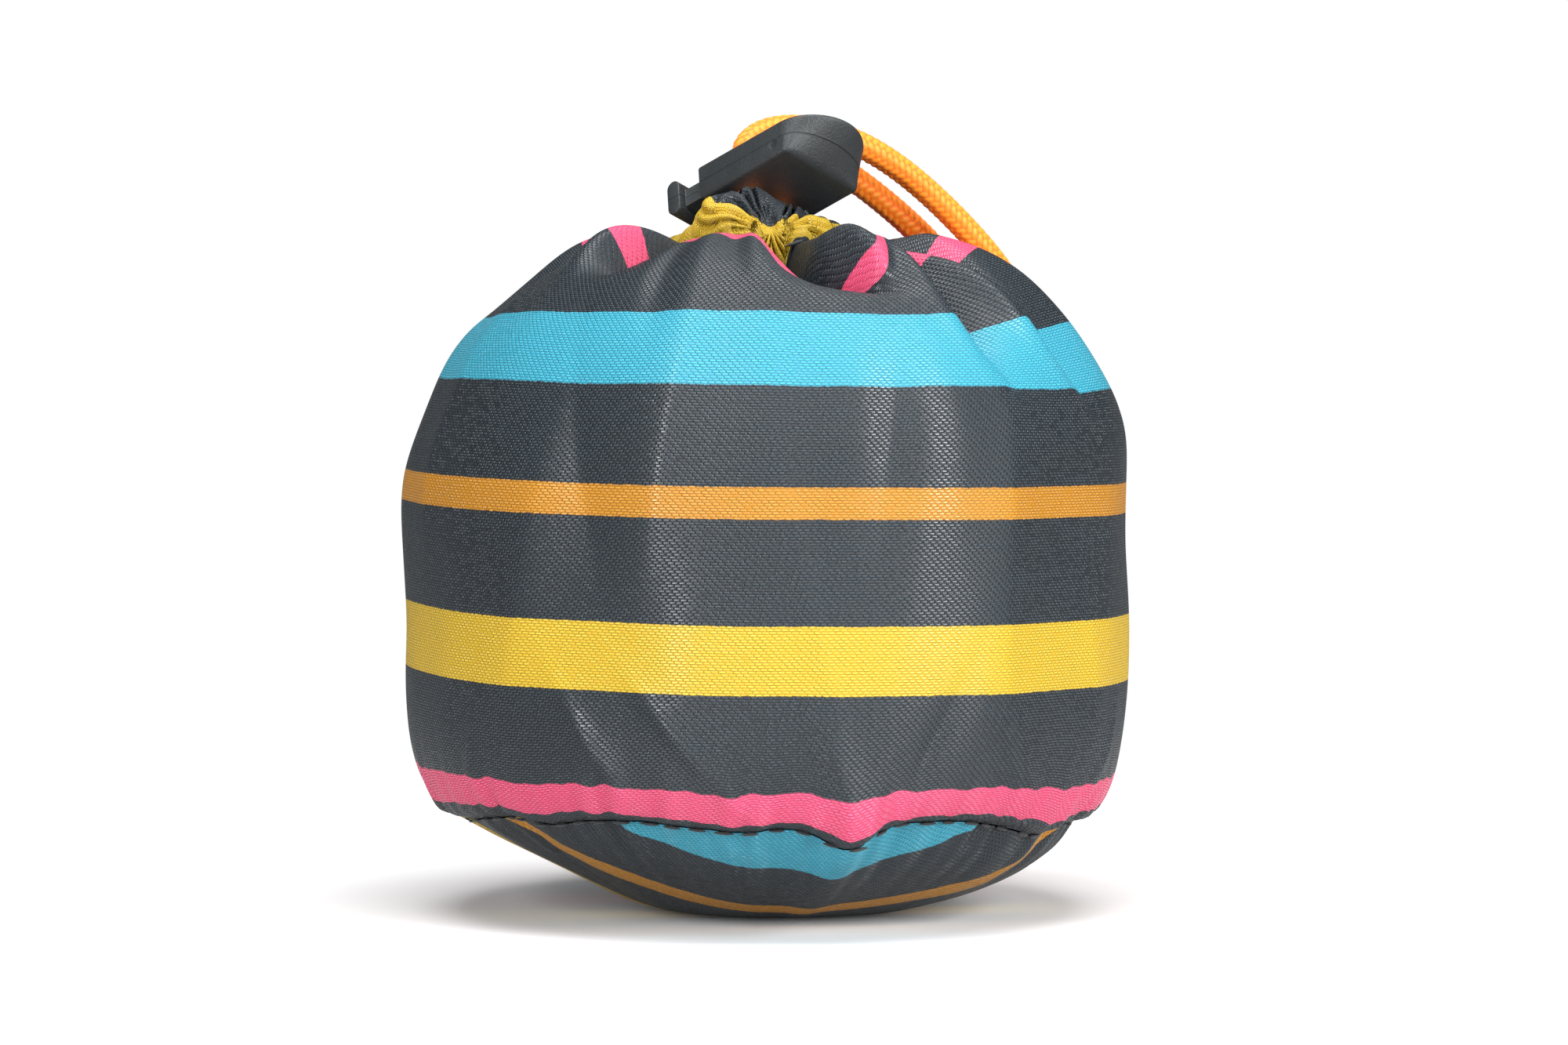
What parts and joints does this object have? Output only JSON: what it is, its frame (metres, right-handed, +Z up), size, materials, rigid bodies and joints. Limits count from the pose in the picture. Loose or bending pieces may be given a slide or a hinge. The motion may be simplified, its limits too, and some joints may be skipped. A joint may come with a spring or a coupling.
{
  "type": "stuff sack",
  "caption": "Small round drawstring stuff sack of striped satin cloth, filled and cinched shut, with a spring cord lock that slides on the drawcord.",
  "frame": {"origin": "centre of the flat patch that the sack stands on", "axes": "+Z up to the mouth, +X to the right of the front, +Y to the back, where the side seam and the tied cord ends are"},
  "size_m": [0.1085, 0.1222, 0.1195],
  "materials": {
    "striped_satin": "satin weave with printed stripes",
    "thread": "twisted polyester thread",
    "braided_cord": "round braid",
    "lock_plastic": "moulded, fine grain",
    "spring_steel": "drawn wire"
  },
  "bodies": {
    "sack": {"side_panel": "striped_satin", "bottom_panel": "striped_satin", "channel_hem": "striped_satin", "side_seam_thread": "thread", "bottom_seam_thread": "thread", "channel_thread": "thread", "drawcord_loop": "braided_cord", "drawcord_left_strand": "braided_cord", "drawcord_right_strand": "braided_cord", "drawcord_knot": "braided_cord"},
    "lock": {"cord_lock_body": "lock_plastic", "cord_lock_spring": "spring_steel"},
    "plunger": {"cord_lock_plunger": "lock_plastic"}
  },
  "joints": [
    {"name": "lock_slide", "type": "slide", "parent": "sack", "child": "lock", "axis": [-0.0615, 0.5475, 0.8346], "range_m": [0, 0.0025]},
    {"name": "plunger_press", "type": "slide", "parent": "lock", "child": "plunger", "axis": [0.7391, -0.537, 0.4067], "range_m": [0, 0.0025], "stiffness_N_per_m": 300, "springref_m": -0.004, "deforming": ["cord_lock_spring"]}
  ]
}
